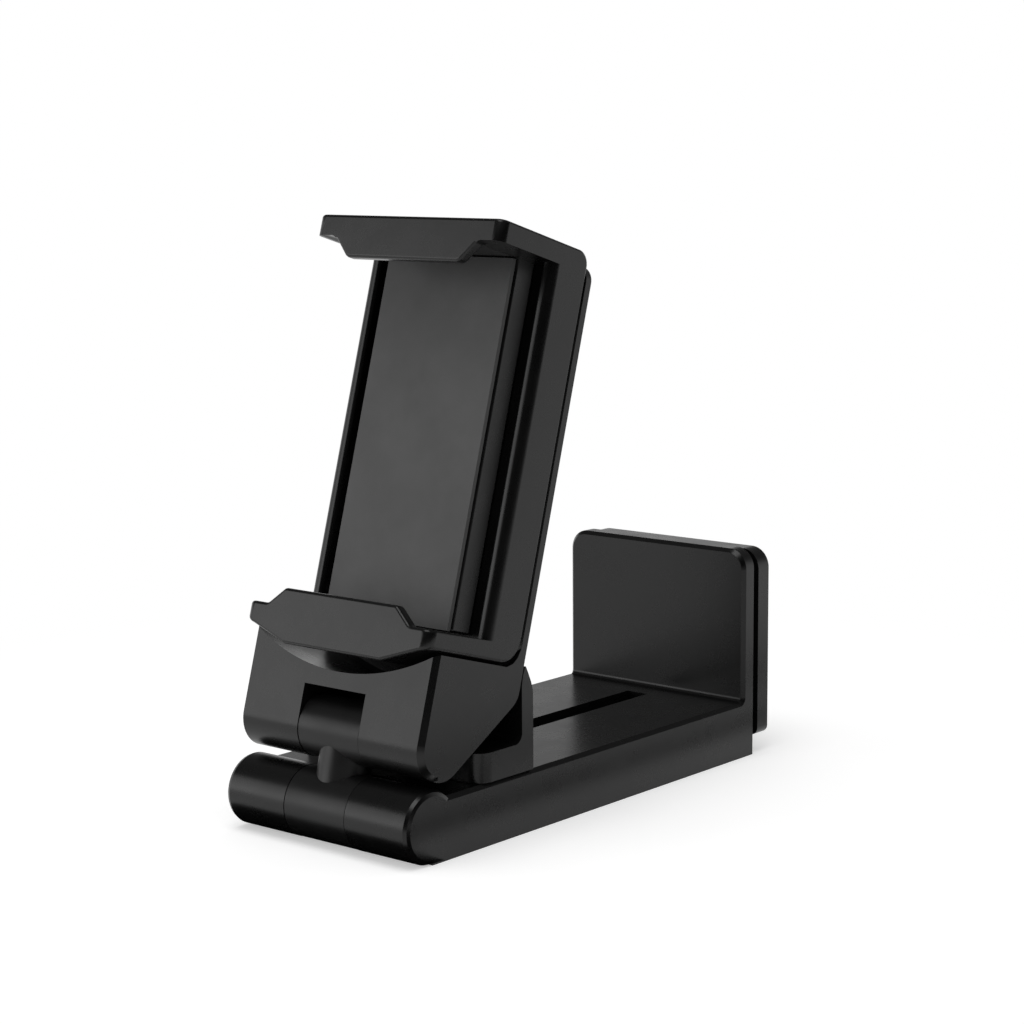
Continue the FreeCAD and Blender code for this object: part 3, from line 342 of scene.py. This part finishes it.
def card(name, material, size, place, turn=(0.0, 0.0, 0.0)):
    """Black card, seen only in the plastic's gloss: a studio screen, or a strip of painted
    shade on the floor.
    """
    bpy.ops.mesh.primitive_plane_add(size=1.0, location=place, rotation=turn)
    plane = bpy.context.object
    plane.name = name
    plane.scale = (*size, 1.0)
    plane.data.materials.append(material)
    plane.visible_camera = False
    plane.visible_diffuse = False
    plane.visible_shadow = False


def make_cards():
    """Screens from the front to the right side, and strips of painted shade on the floor
    beside the base, which darken the floor where the plastic reflects it.
    """
    black, _, shader = new_material("card_black")
    shader.inputs["Base Color"].default_value = opaque(0.0)
    shader.inputs["Specular IOR Level"].default_value = 0.0
    for number, azimuth in enumerate(SCREEN_AZIMUTHS):
        way = direction(azimuth, SCREEN_ELEVATION)
        turn = way.to_track_quat("Z", "Y").to_euler()
        place = MIDDLE + SCREEN_DISTANCE * way
        card(f"screen_{number}", black, SCREEN_SIZE, place, turn)
    # painted shade: the floor's shade near the holder, put down as black strips that only
    # the gloss sees
    for name, size, place in PAINTED_SHADE_STRIPS:
        card(name, black, size, (*place, STRIP_LIFT))


def make_camera():
    data = bpy.data.cameras.new("camera")
    data.sensor_width = SENSOR_MM
    data.lens = FOCAL_PX / IMAGE_PX * SENSOR_MM
    data.clip_start = CLIP_START
    camera = bpy.data.objects.new("camera", data)
    bpy.context.scene.collection.objects.link(camera)
    camera.location = CAMERA_AT
    turn = Euler((math.pi / 2 + CAMERA_PITCH, 0.0, CAMERA_YAW), "XYZ").to_matrix()
    roll = Euler((0.0, 0.0, CAMERA_ROLL), "XYZ").to_matrix()
    camera.rotation_euler = (turn @ roll).to_euler()
    bpy.context.scene.camera = camera


with open("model.json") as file:
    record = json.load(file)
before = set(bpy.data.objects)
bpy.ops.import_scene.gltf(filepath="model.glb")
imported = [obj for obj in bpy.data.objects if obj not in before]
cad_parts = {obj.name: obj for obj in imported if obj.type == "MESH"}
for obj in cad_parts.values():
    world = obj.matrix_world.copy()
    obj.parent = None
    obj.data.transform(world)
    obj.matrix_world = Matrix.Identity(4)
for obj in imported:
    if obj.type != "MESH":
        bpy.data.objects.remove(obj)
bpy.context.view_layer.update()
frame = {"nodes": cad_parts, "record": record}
dress_nodes(frame)
for name in ROUNDED_NODES:
    round_edges(frame["nodes"][name])
# the panel's side wall reflects the pale studio, which the spine would block
frame["nodes"]["clamp_frame"].visible_glossy = False
make_floor()
make_world()
for box in SOFTBOXES:
    softbox(*box)
make_cards()
make_camera()
bpy.context.scene.view_settings.view_transform = "Standard"
